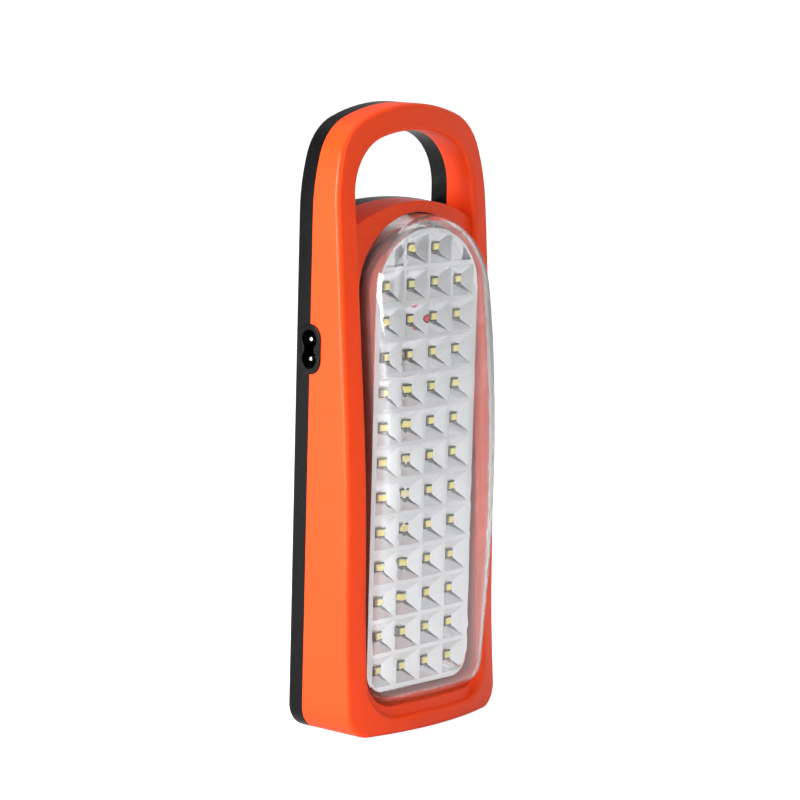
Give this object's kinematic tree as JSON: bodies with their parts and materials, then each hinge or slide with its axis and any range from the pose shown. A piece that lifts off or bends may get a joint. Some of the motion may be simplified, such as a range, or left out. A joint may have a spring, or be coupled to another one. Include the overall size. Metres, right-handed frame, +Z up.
{
  "type": "rechargeable led emergency lantern",
  "caption": "Tall rechargeable LED emergency lantern with a loop handle, a domed clear lens over a mirror reflector, a two-pin side inlet and a slide switch.",
  "frame": {"origin": "middle of the base, on the plane where the front and rear shells meet", "axes": "+Z up along the lantern, -Y out of the lens, +X to the right seen from the front"},
  "size_m": [0.103, 0.0505, 0.2712],
  "materials": {
    "orange_shell": "satin",
    "black_shell": "satin",
    "clear_lens": "polished clear plastic",
    "seal_rubber": "matte",
    "steel": "zinc plated",
    "mirror_plastic": "vacuum metallised",
    "dark_board": "solder resist",
    "led_white": "satin",
    "phosphor": "satin",
    "red_epoxy": "polished",
    "battery_plastic": "moulded",
    "foam": "open foam",
    "green_board": "solder resist",
    "film_yellow": "satin",
    "can_sleeve": "satin",
    "component_black": "moulded",
    "resistor_tan": "lacquered",
    "bright_contact": "nickel plated",
    "wire_red": "satin",
    "wire_black": "satin",
    "wire_white": "satin"
  },
  "bodies": {
    "lantern_body": {"front_housing": "orange_shell", "rear_housing": "black_shell", "housing_screws": "steel", "lens_cover": "clear_lens", "lens_seal": "seal_rubber", "lens_screws": "steel", "reflector": "mirror_plastic", "led_board": "dark_board", "led_packages": "led_white", "led_phosphors": "phosphor", "led_board_screws": "steel", "indicator_led": "red_epoxy", "battery_case": "battery_plastic", "battery_lid": "battery_plastic", "battery_terminals": "bright_contact", "battery_pad": "foam", "battery_clamp": "steel", "battery_clamp_screws": "steel", "control_board": "green_board", "control_board_screws": "steel", "film_capacitor": "film_yellow", "electrolytic_capacitor": "can_sleeve", "rectifier_diodes": "component_black", "resistors": "resistor_tan", "transistor": "component_black", "inlet_body": "black_shell", "inlet_pins": "bright_contact", "inlet_terminals": "bright_contact", "switch_bezel": "black_shell", "switch_body": "steel", "switch_terminals": "bright_contact", "battery_lead_red": "wire_red", "battery_lead_black": "wire_black", "led_leads": "wire_white", "inlet_leads": "wire_white", "switch_leads": "wire_black"},
    "switch_slider": {"switch_knob": "black_shell"}
  },
  "joints": [
    {"name": "switch_slide", "type": "slide", "parent": "lantern_body", "child": "switch_slider", "axis": [0, 0, 1], "range_m": [0, 0.006]}
  ]
}
